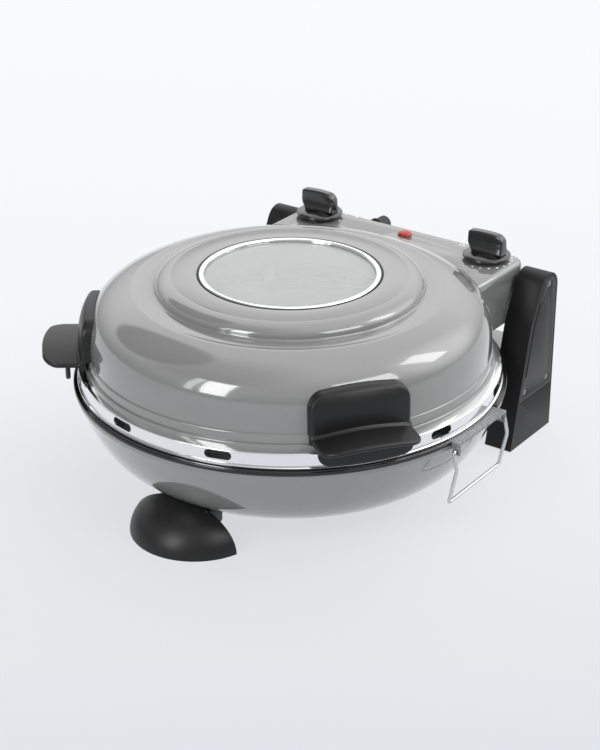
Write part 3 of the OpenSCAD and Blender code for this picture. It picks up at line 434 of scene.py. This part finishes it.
def dome_line(inset):
    """r = R cos(a)^(2/n), h = low + rise sin(a)^(2/n), a valley, then a quarter ellipse."""
    first, last = math.radians(0.3), math.acos((CROWN_R / DOME_R) ** (SQUARE / 2))
    a = first + (last - first) * np.linspace(0, 1, 60) ** 1.4
    side_r = DOME_R * np.cos(a) ** (2 / SQUARE)
    side_h = DOME_LOW + DOME_RISE * np.sin(a) ** (2 / SQUARE)
    valley = [[r, VALLEY_Z] for r in (CROWN_R - 3, CROWN_R - 6, VALLEY_IN + 2.2, VALLEY_IN + 0.7)]
    fillet = arc((VALLEY_IN, VALLEY_Z + FILLET_R), FILLET_R, 270, 180, 8)
    b = np.radians(np.linspace(4, 90, 28))
    flank_r = PLATEAU_R + FLANK_W * np.cos(b)
    flank_h = VALLEY_Z + FILLET_R + FLANK_H * np.sin(b)
    flat = [[PLATEAU_R - 0.5, PLATEAU_Z + 0.4], [79.5, WINDOW_Z], [78.5, WINDOW_Z]]
    sides = [np.stack(pair, -1) for pair in ((side_r, side_h), (flank_r, flank_h))]
    return np.concatenate([sides[0], valley, fillet, sides[1], flat]) - inset


beads = [[[171.5, BAND_H]], arc(LOW_BEAD, BEAD_R, 0, 90, 6)]
beads += [[BEAD_NECK], arc(TOP_BEAD, BEAD_R, 0, 90, 6)]
edge_round = arc((WINDOW_R + SHEET, WINDOW_Z - SHEET), SHEET, 90, 180, 6)
flange = np.concatenate([edge_round, [[WINDOW_R, WINDOW_Z - TURN_DOWN]]])
flange_in = [[WINDOW_R + SHEET, WINDOW_Z - TURN_DOWN], [WINDOW_R + SHEET, WINDOW_Z - SHEET]]
inner = np.concatenate([flange_in, dome_line(SHEET)[::-1]])
shell = np.concatenate(beads + [dome_line(0), flange, inner, [[DOME_R - SHEET, BAND_H]]])
piece("lid_dome", [(turned(shell), True, True)], enamel, "lid_shell", crease=50)

# ---- Vent ring -----------------------------------------------------------------
# Polished stainless strip rolled to a ring, with a lip, a groove and twelve oblong vents.
# Pressed over the dome's foot; the vents are punched through.
# Polished stainless: a near mirror that shows the bright and the dark of the room.
polished = mottled(
    "polished_stainless_steel", 2.5, "#efeff0", "#f5f5f6", Metallic=1.0, Roughness=0.1
)
LIP_R, VENTS, FIRST_VENT, STRIP = 178, 12, 17.3, 1.2
STRIP_LOW, STRIP_TOP, STRIP_R, STRIP_LEAN = 4.6, 12.45, 176.8, 0.35
VENT_HALF_L, VENT_HALF_H = 7.5, 3.5
ROLL_IN, ROLL_R = DOME_R + 1.7, 0.85
lip = [(-4, 1.2), (-4, 0), (-0.6, 0), (-0.15, 0.2), (0, 0.6), (0, 1.5)]
lip += [(-0.6, 2.1), (-2, 2.3), (-2, 3.2), (-1, 3.8), (-1, STRIP_LOW)]
lip = [LIP_R, 0] + np.array(lip)
under_lip = [LIP_R, 0] + np.array([(-2.2, STRIP_LOW), (-3.2, 3.6), (-3.2, 1.4)])
roll = arc((LIP_R - 2.25, STRIP_TOP), ROLL_R, 0, 90, 5)
roll = np.concatenate([[[LIP_R - 1.35, STRIP_TOP]], roll, [[ROLL_IN, BAND_H]]])
under_roll = [[ROLL_IN, BAND_H - STRIP], [LIP_R - 2.6, BAND_H - STRIP], [LIP_R - 2.55, STRIP_TOP]]


def vented_band(inset):
    """Twelve grids from an oblong slot's edge to its sector's edge, bent by t = x / R."""
    sector = 2 * np.pi / VENTS
    reach, side = (STRIP_TOP - STRIP_LOW) / 2, sector * STRIP_R / 2
    a = np.radians(np.linspace(-90, 90, 25))
    edge = np.stack([VENT_HALF_L + VENT_HALF_H * np.cos(a), VENT_HALF_H * np.sin(a)], -1)
    bottom = np.linspace(VENT_HALF_L, side, 9)[:-1, None]
    low_run = np.insert(bottom, 1, -reach, axis=1)
    high_run = np.insert(bottom[::-1], 1, reach, axis=1)
    upright = np.stack([np.full(9, side), np.linspace(-reach, reach, 9)], -1)
    along = np.linspace(VENT_HALF_L, -VENT_HALF_L, 12)[1:-1, None]
    top, bar = np.insert(along, 1, VENT_HALF_H, axis=1), np.insert(along, 1, reach, axis=1)
    slot = np.concatenate([edge, top, -edge, -top])
    half_frame = np.concatenate([low_run, upright, high_run, bar])
    t = np.linspace(0, 1, 5)[:, None, None]
    flat = slot * (1 - t) + np.concatenate([half_frame, -half_frame]) * t
    turn = math.radians(FIRST_VENT) + sector * np.arange(VENTS)[:, None, None]
    turn = turn + flat[None, ..., 0] / STRIP_R
    r = LIP_R - 1 - STRIP_LEAN * (flat[..., 1] + reach) / (2 * reach) - inset
    z = (STRIP_LOW + STRIP_TOP) / 2 + flat[..., 1] + 0 * turn
    return list(np.stack([r * np.sin(turn), -r * np.cos(turn), z], -1))


outer_band, inner_band = vented_band(0), vented_band(STRIP)
walls = [(np.stack([o[0], i[0]]), False, True) for o, i in zip(outer_band, inner_band)]
ring_grids = [(g, False, True) for g in outer_band + inner_band] + walls
for profile in ([lip], [under_lip, lip[:1]], [roll, under_roll]):
    ring_grids.append((turned(np.concatenate(profile)), False, True))
piece("vent_ring", ring_grids, polished, "lid_vent_ring", crease=40)

# ---- Window --------------------------------------------------------------------
# Toughened glass disc in a moulded rubber gasket, under a bright rolled trim ring.
# The gasket shows as a thin black line between the trim and the enamel.
# Glass: clear with a slight green-grey veil, and sharp reflections on top.
GLASS_TOP, GLASS_LOW, GLASS_R, GLASS_EDGE = 87.04, 83.04, 74.6, 0.5
glass, tree, shader, place = finish_of(
    "toughened_glass", Transmission_Weight=0.84, Roughness=0.0, IOR=1.5
)
mottle(tree, shader, place, 40, "#eef3f1", "#f6f9f8")
# Light passes it as through a thin pane, so that the inside isn't left dark.
rays = add(tree, "ShaderNodeLightPath", {}).outputs
kinds = {0: rays["Is Shadow Ray"], 1: rays["Is Diffuse Ray"]}
thin = add(tree, "ShaderNodeMath", kinds, operation="MAXIMUM")
pane = add(tree, "ShaderNodeBsdfTransparent", {"Color": linear("#f2f5f4")})
shares = {0: thin.outputs[0], 1: shader.outputs[0], 2: pane.outputs[0]}
mixed = add(tree, "ShaderNodeMixShader", shares)
tree.links.new(mixed.outputs[0], tree.nodes["Material Output"].inputs["Surface"])
disc = [[0, GLASS_LOW], [GLASS_R - GLASS_EDGE, GLASS_LOW], [GLASS_R, GLASS_LOW + GLASS_EDGE]]
disc += [[GLASS_R, GLASS_TOP - GLASS_EDGE], [GLASS_R - GLASS_EDGE, GLASS_TOP], [0, GLASS_TOP]]
piece("window_pane", [(turned(disc), False, True)], glass, "window_glass")

SEAL_IN, SEAL_SEAT, SEAL_LOW, SEAL_EDGE, SEAL_TOP = 70.4, 75.2, 81.84, 88.3, 88.5
seal = [[SEAL_IN, SEAL_LOW], [WINDOW_R, SEAL_LOW], [WINDOW_R, SEAL_EDGE]]
seal += [[WINDOW_R - 0.3, SEAL_TOP], [SEAL_SEAT + 0.3, SEAL_TOP]]
seal += [[SEAL_SEAT, SEAL_EDGE], [SEAL_SEAT, GLASS_LOW], [SEAL_IN, GLASS_LOW]]
piece("window_seal", [(turned(seal), True, True)], rubber, "window_gasket")

TRIM_IN, TRIM_MID, TRIM_HALF, TRIM_H = 70.6, 72.9, 2.3, 1.2
k = np.radians(np.linspace(0, 180, 17))
crest = np.stack([TRIM_MID + TRIM_HALF * np.cos(k), PLATEAU_Z + TRIM_H * np.sin(k)], -1)
trim = np.concatenate([[[TRIM_IN, GLASS_TOP], [SEAL_SEAT, GLASS_TOP]], crest])
piece("window_trim", [(turned(trim), True, True)], polished, "window_trim_ring")

# ---- Heat reflectors and elements ----------------------------------------------
# Thin bright annealed sheet that throws the heat back: a liner in the lid, a tray in the base.
# Sheathed heating elements lie on clips and pass out through ceramic sleeves.
# Annealed sheet: bright metal with soft, wide reflections.
annealed = mottled(
    "bright_annealed_sheet", 6, "#c9cacb", "#d6d7d8", Metallic=1.0, Roughness=0.34
)
# Oxidised sheath: brownish dark metal, dulled by heat.
sheath = mottled(
    "oxidised_element_sheath", 4, "#46413d", "#5c5650", Metallic=1.0, Roughness=0.5
)
# Steatite: matt, slightly yellow white.
ceramic = mottled("steatite_ceramic", 1.0, "#e0dbce", "#ebe7dc", Roughness=0.6, IOR=1.6)
LINER_R, LINER_LOW, LINER_TOP, COLLAR_R, COLLAR_TOP, LINER_T = 172, 11.3, 60, 83.4, 79.84, 0.8
liner = [[LINER_R, LINER_LOW], [159.8, LINER_LOW], [154.8, 42], [145.8, LINER_TOP]]
liner += [[COLLAR_R, LINER_TOP], [COLLAR_R, COLLAR_TOP], [COLLAR_R + LINER_T, COLLAR_TOP]]
liner += [[COLLAR_R + LINER_T, LINER_TOP + LINER_T], [146.3, LINER_TOP + LINER_T]]
liner += [[155.6, 42.2], [160.4, LINER_LOW + LINER_T], [LINER_R, LINER_LOW + LINER_T]]
piece("lid_liner", [(turned(liner), True, True)], annealed, "lid_reflector")
dress(annealed, "base_reflector", "upper_element_clips", "lower_element_clips", "window_clips")
softened("upper_element", "upper_heating_element", 0.2, sheath)
softened("lower_element", "lower_heating_element", 0.2, sheath)
dress(ceramic, "upper_element_insulators", "lower_element_insulators")
dress(ceramic, "terminal_block", "thermostat_body")
dress(nylon, "timer_mechanism", "pilot_lamp_holder")

# ---- Handles -------------------------------------------------------------------
# One moulding each side of the front, in the foot's satin black polyamide: a plate
# that follows the dome, a crowned ledge and a skirt below it. Screwed on from inside.
HANDLE_TURN, HALF_W, TOP_Z, PLATE_T = 54, 40.8, 62, 8
LEDGE_Z, LEDGE_R, LEDGE_T, CROWN, LEDGE_FILLET = 30, 206, 3.6, 150, 3
FACE_R, LOW_Z, BEAD_TOP = DOME_R + PLATE_T, LEDGE_Z - 11, 26
BACK_R, BACK_GAP = 171.8, 0.3
PLATE_CORNER, PLATE_BOW, PLATE_EDGE, LEDGE_CORNER = 14, 180, 2.8, 17
APRON_OUT, APRON_IN, APRON_LOW, APRON_CORNER, APRON_EDGE = 187.6, 184, 7, 9, 1.4


def dome_at(z):
    """Radius of the dome's outer face at height z, upright below the top of its beads."""
    return DOME_R * (1 - np.clip((z - DOME_LOW) / DOME_RISE, 0, 1) ** SQUARE) ** (1 / SQUARE)


def edge_drop(near_side, near_end, round_r):
    """How far a face falls back near two edges: a quarter circle of radius round_r."""
    a, b = (np.clip(1 - d / round_r, 0, 1) for d in (near_side, near_end))
    return round_r * (1 - np.sqrt(1 - np.clip(np.hypot(a, b), 0, 1) ** 2))


def cornered(lat, half, corner, top, bow):
    """Height top - x^2 / 2 bow over the width, with a round corner at each side."""
    over = np.clip(np.abs(lat) - (half - corner), 0, corner)
    flat = np.minimum(np.abs(lat), half - corner)
    return top - flat**2 / (2 * bow) - corner + np.sqrt(corner**2 - over**2)


def shell_of(front, back):
    """Two faces of a moulding and the wall between their edges."""
    return [(front, False, False), (back, False, False), (rim(front, back), False, True)]


def on_cylinder(lat, r, z):
    """Points at a distance lat beside the middle, at radius r and height z."""
    return np.stack([lat + 0 * z, -np.sqrt(r**2 - lat**2), z], -1)


across = np.sin(np.radians(np.linspace(-90, 90, 73)))[None, :]
climb = np.sin(np.radians(np.linspace(0, 90, 45)))[:, None]


def back_plate():
    """Radius of the dome plus the thickness, over the width and up; round sides and top."""
    lat = HALF_W * across
    top = cornered(lat, HALF_W, PLATE_CORNER, TOP_Z, PLATE_BOW)
    z = LOW_Z + (top - LOW_Z) * climb
    front_r = np.where(z < BEAD_TOP, FACE_R, dome_at(z) + PLATE_T)
    front_r = front_r - edge_drop(HALF_W - np.abs(lat), top - z, PLATE_EDGE)
    back_r = np.where(z < BEAD_TOP + BACK_GAP, BACK_R, dome_at(z) + BACK_GAP)
    return shell_of(on_cylinder(lat, front_r, z), on_cylinder(lat, back_r, z))


def ledge():
    """Height = middle - C + sqrt(C^2 - x^2) over width and reach; bowed front, small fillet."""
    half = HALF_W + 0.2
    lat, front = half * across, cornered(half * across, half, LEDGE_CORNER, LEDGE_R, CROWN)
    start = np.sqrt((FACE_R - 2) ** 2 - lat**2)
    v = start + (front - start) * climb
    crown = LEDGE_Z - CROWN + np.sqrt(CROWN**2 - lat**2) + 0 * v
    drop = edge_drop(half - np.abs(lat), front - v, LEDGE_T / 2)
    near = np.clip(LEDGE_FILLET - (np.hypot(lat, v) - FACE_R), 0, LEDGE_FILLET)
    top = crown - drop + LEDGE_FILLET - np.sqrt(LEDGE_FILLET**2 - near**2)
    return shell_of(*[np.stack([lat + 0 * v, -v, z], -1) for z in (top, crown - LEDGE_T + drop)])


def skirt_below():
    """Band of a cylinder under the ledge, with rounded lower corners."""
    half = HALF_W - 2
    lat = half * across
    foot = 2 * APRON_LOW - cornered(lat, half, APRON_CORNER, APRON_LOW, 1e6)
    top = LEDGE_Z - CROWN + np.sqrt(CROWN**2 - lat**2) - LEDGE_T / 2
    z = top + (foot - top) * climb
    drop = edge_drop(half - np.abs(lat), z - foot, APRON_EDGE)
    return shell_of(*[on_cylinder(lat, r, z) for r in (APRON_OUT - drop, APRON_IN + drop)])


def swung(grid, degrees):
    """Turns points about the lid's axis."""
    c, s = math.cos(math.radians(degrees)), math.sin(math.radians(degrees))
    return grid @ np.array([[c, s, 0], [-s, c, 0], [0, 0, 1]])


for side, name in ((-1, "left"), (1, "right")):
    grids = back_plate() + ledge() + skirt_below()
    grids = [(swung(g, side * HANDLE_TURN), rows, cols) for g, rows, cols in grids]
    piece(name + "_handle_moulding", grids, satin_black, name + "_handle")

# ---- Control housing -----------------------------------------------------------
# Folded sheet in the lid's enamel, with rounded edges, spot-welded behind the dome.
# Its floor, cord gland and the parts inside are fitted from below.
HOUSE_TOP, KNOB_X, KNOB_BACK = 64, 88, 169.5
softened("housing_panel", "control_housing", 0.3, enamel)
softened("housing_underside", "housing_floor", 0.2, enamel)
softened("supply_gland", "cord_gland", 0.4, rubber)
# Glass-fibre sleeving: matt straw yellow with a woven roughness.
sleeving = mottled(
    "glass_fibre_sleeving", 0.8, "#b8955a", "#c9a46a", depth=0.05, Roughness=0.6, IOR=1.5
)
dress(sleeving, "wire_harness")

# Pad-printed scale marks in white ink: flat, matt and very thin.
ink = mottled("white_pad_print_ink", 0.6, "#e6e7e7", "#f4f5f5", Roughness=0.5, IOR=1.5)
INK_Z, SCALE_R, SCALE_DOT = HOUSE_TOP + 0.03, 22.3, 1.15


def dot(x, y, radius, hole=0.0):
    """Flat round mark on the panel's top."""
    return turned([[hole, INK_Z], [radius, INK_Z]], steps=24) + [x, y, 0]


marks = [
    dot(KNOB_X + SCALE_R * math.cos(a), KNOB_BACK + SCALE_R * math.sin(a), SCALE_DOT)
    for a in np.radians(np.linspace(-92, 40, 8))
]
marks += [dot(54.2, 184.7, 2.4, 1.7), dot(57.5, 183.6, 0.8)]
marks += [dot(-66.5, 170.5, 1.1), dot(-71, 187, 0.9), dot(-58.7, 187, 1.1)]
piece("scale_marks", [(m, False, True) for m in marks], ink, body="lid", slot="nylon")

# Pilot lens of moulded red polycarbonate: a glossy deep red, slightly see-through.
lens_red = mottled(
    "red_polycarbonate_lens", 2.0, "#ac1313", "#c21a1a",
    Roughness=0.1, IOR=1.58, Transmission_Weight=0.15,
)
LENS_R, LENS_LIFT, LENS_H, LENS_BACK = 6.2, 0.8, 2.4, 176
k = np.radians(np.linspace(0, 90, 12))
lens = np.stack([LENS_R * np.cos(k), LENS_LIFT + LENS_H * np.sin(k)], -1)
lens = np.concatenate([[[0, 0], [LENS_R - 0.3, 0], [LENS_R, 0.3]], lens])
lens = turned(lens, steps=64) + [0, LENS_BACK, HOUSE_TOP]
piece("pilot_lens_dome", [(lens, False, True)], lens_red, "pilot_lens")

# ---- Knobs ---------------------------------------------------------------------
# Gloss black mouldings: a round disc with a shallow cone, and a blade grip that widens
# to its foot. Each is pressed on a steel spindle.
# Gloss ABS: black with a lacquer-like shine, so that the blades catch thin lights.
knob_black = mottled(
    "gloss_black_knob_abs", 1.0, "#111112", "#171718", depth=0.01, strength=0.1,
    Roughness=0.14, IOR=1.54, Coat_Weight=0.5,
)
DISC_LOW, DISC_T, DISC_R, DISC_ROUND = 66.4, 5.4, 21, 1.6
GRIP_H, GRIP_HALF, GRIP_CROWN, GRIP_T = 17.4, 17.3, 1.3, 4.8
LEFT_R, RIGHT_R, FOOT_UP, WIDEN, NARROW = 2, 7, 6, 0.6, 0.12
disc = arc((DISC_R - DISC_ROUND, 1.7), DISC_ROUND, -80, 50, 8)
cone = [[17.6, 3.8], [13, 5.2], [8, 6], [0, 6.2]]
disc = np.concatenate([[[0, 0], [DISC_R - DISC_ROUND, 0]], disc, cone])


def grip():
    """Blade along X: rounded section, height after the side outline, width grows to the foot."""
    x = GRIP_HALF * np.sin(np.radians(np.linspace(-90, 90, 61)))[:, None]
    left = np.clip(-GRIP_HALF + LEFT_R - x, 0, LEFT_R)
    right = np.clip(x - (GRIP_HALF - RIGHT_R), 0, 6.6)
    top = DISC_T + GRIP_H - GRIP_CROWN * (x / GRIP_HALF) ** 2
    top = top - LEFT_R + np.sqrt(LEFT_R**2 - left**2) - RIGHT_R + np.sqrt(RIGHT_R**2 - right**2)
    low = DISC_T - 0.8 + np.clip(-x - 11.6, 0, 6) * 1.14
    plan = (1 - np.clip(np.abs(x) / GRIP_HALF, 0, 1) ** 9) ** (1 / 9)
    a = np.linspace(0, 2 * np.pi, 49, endpoint=False)[None, :]
    wave = [np.sign(f) * np.abs(f) ** 0.28 for f in (np.cos(a), np.sin(a))]
    z = (low + top) / 2 + (top - low) / 2 * wave[1]
    taper = 1 + WIDEN * np.clip((DISC_T + FOOT_UP - z) / FOOT_UP, 0, 1)
    taper = taper - NARROW * np.clip((z - DISC_T - FOOT_UP) / 11, 0, 1)
    return np.stack([x + 0 * z, GRIP_T * plan * taper * wave[0], z], -1)


for side, name in ((-1, "timer"), (1, "thermostat")):
    shift = [side * KNOB_X, KNOB_BACK, DISC_LOW]
    grids = [(turned(disc, steps=96) + shift, False, True), (grip() + shift, False, True)]
    piece(name + "_knob_moulding", grids, knob_black, name + "_knob", crease=40)
dress(zinc, "timer_shaft", "thermostat_shaft")

# ---- Studio --------------------------------------------------------------------
# Pale sweep that the camera and the reflections see near its written colour,
# with part of the real floor's light mixed in, so that it keeps a soft shadow.
# Paper: matt and cool white. What camera and reflections see of it is a painted glow, darker
# towards the camera as painted shade.
paper, tree, shader, place = finish_of("sweep_paper", Roughness=0.9, Specular_IOR_Level=0.1)
AWAY_X, AWAY_Y, SWEEP_NEAR, SWEEP_FAR, SEEN_SHARE, GLOW = -0.58, 0.82, -1.1, 1.5, 0.8, 1.03
split = add(tree, "ShaderNodeSeparateXYZ", {"Vector": place}).outputs
away = add(tree, "ShaderNodeMath", {0: split["X"], 1: AWAY_X}, operation="MULTIPLY")
terms = {0: split["Y"], 1: AWAY_Y, 2: away.outputs[0]}
far = add(tree, "ShaderNodeMath", terms, operation="MULTIPLY_ADD")
depth = add(tree, "ShaderNodeMapRange", {0: far.outputs[0], 1: SWEEP_NEAR, 2: SWEEP_FAR})
# Painted falloff of the light: the glow's colour darkens from the far sweep towards the camera.
tone = add(tree, "ShaderNodeValToRGB", {0: depth.outputs[0]})
falloff_stops = tone.color_ramp.elements
falloff_stops[0].position, falloff_stops[0].color = 0.265, linear("#d5d9df")
falloff_stops[1].position, falloff_stops[1].color = 1.0, linear("#fafbfd")
between = ((0.315, "#dbdfe2"), (0.382, "#e4e5e9"), (0.487, "#eff0f4"), (0.69, "#f5f6f8"))
for position, hexa in between:
    falloff_stops.new(position).color = linear(hexa)
shader.inputs["Base Color"].default_value = linear("#dcdde0")
glow = add(tree, "ShaderNodeEmission", {"Color": tone.outputs[0], "Strength": GLOW})
rays = add(tree, "ShaderNodeLightPath", {}).outputs
seen = rays["Is Camera Ray"]
for kind in ("Is Glossy Ray", "Is Transmission Ray"):
    seen = add(tree, "ShaderNodeMath", {0: seen, 1: rays[kind]}, operation="MAXIMUM").outputs[0]
share = add(tree, "ShaderNodeMath", {0: seen, 1: SEEN_SHARE}, operation="MULTIPLY")
shares = {0: share.outputs[0], 1: shader.outputs[0], 2: glow.outputs[0]}
mixed = add(tree, "ShaderNodeMixShader", shares)
tree.links.new(mixed.outputs[0], tree.nodes["Material Output"].inputs["Surface"])
FLOOR_HALF = 20
corners = [(x * FLOOR_HALF, y * FLOOR_HALF, 0) for x, y in ((-1, -1), (1, -1), (1, 1), (-1, 1))]
floor_mesh = bpy.data.meshes.new("floor")
floor_mesh.from_pydata(corners, [], [(0, 1, 2, 3)])
floor = bpy.data.objects.new("floor", floor_mesh)
floor.data.materials.append(paper)
bpy.context.scene.collection.objects.link(floor)

world = bpy.data.worlds.new("studio")
world.use_nodes = True
sky = world.node_tree
way = add(sky, "ShaderNodeTexCoord", {}).outputs["Generated"]


def towards(azimuth, height):
    """Unit direction from an azimuth, counted from the front, and a height in degrees."""
    a, e = math.radians(azimuth), math.radians(height)
    return math.sin(a) * math.cos(e), -math.cos(a) * math.cos(e), math.sin(e)


def patch(azimuth, height, inner, outer, level, around):
    """Light level within an inner angle of a direction, and around it from an outer angle on."""
    ends = {0: way, 1: towards(azimuth, height)}
    near = add(sky, "ShaderNodeVectorMath", ends, operation="DOT_PRODUCT")
    span = {1: math.cos(math.radians(outer)), 2: math.cos(math.radians(inner)), 3: around, 4: level}
    span[0] = near.outputs["Value"]
    return add(sky, "ShaderNodeMapRange", span, interpolation_type="SMOOTHSTEP").outputs[0]


def combine(operation, first, second):
    """One level of light from two."""
    return add(sky, "ShaderNodeMath", {0: first, 1: second}, operation=operation).outputs[0]


# A wide glow behind the part, dimmed to the horizon and at two dark patches that the
# enamel mirrors, and a lamp-like glow behind its right side.
level = patch(-162, 48, 32, 92, 1.5, 0.7)
up = add(sky, "ShaderNodeSeparateXYZ", {"Vector": way}).outputs["Z"]
dusk = add(sky, "ShaderNodeMapRange", {0: up, 1: 0.06, 2: 0.42, 3: 0.45, 4: 1}).outputs[0]
level = combine("MULTIPLY", level, dusk)
level = combine("MULTIPLY", level, patch(-88, 45, 19, 22.5, 0.2, 1))
level = combine("MULTIPLY", level, patch(-40, 62, 8, 38, 0.5, 1))
level = combine("ADD", level, patch(140, 30, 6, 34, 1.2, 0))
sky.nodes["Background"].inputs["Color"].default_value = linear("#fefefe")
sky.links.new(level, sky.nodes["Background"].inputs["Strength"])
bpy.context.scene.world = world
bpy.context.scene.view_settings.view_transform = "Standard"


def softbox(name, azimuth, height, distance, width, depth, power):
    """Rectangular lamp that looks at the lid from an azimuth and a height in degrees."""
    lamp = bpy.data.lights.new(name, "AREA")
    lamp.shape, lamp.size, lamp.size_y, lamp.energy = "RECTANGLE", width, depth, power
    obj = bpy.data.objects.new(name, lamp)
    obj.location = np.array(towards(azimuth, height)) * distance
    obj.rotation_euler = (math.radians(90 - height), 0, math.radians(azimuth))
    bpy.context.scene.collection.objects.link(obj)


softbox("key_softbox", -5, 27, 2.0, 0.5, 1.15, 13)
softbox("side_softbox", 82, 40, 2.0, 1.0, 0.7, 9)
softbox("back_softbox", 132, 43, 2.0, 0.45, 0.8, 4)
softbox("key_strip", -19, 27, 2.0, 0.16, 1.15, 1.8)
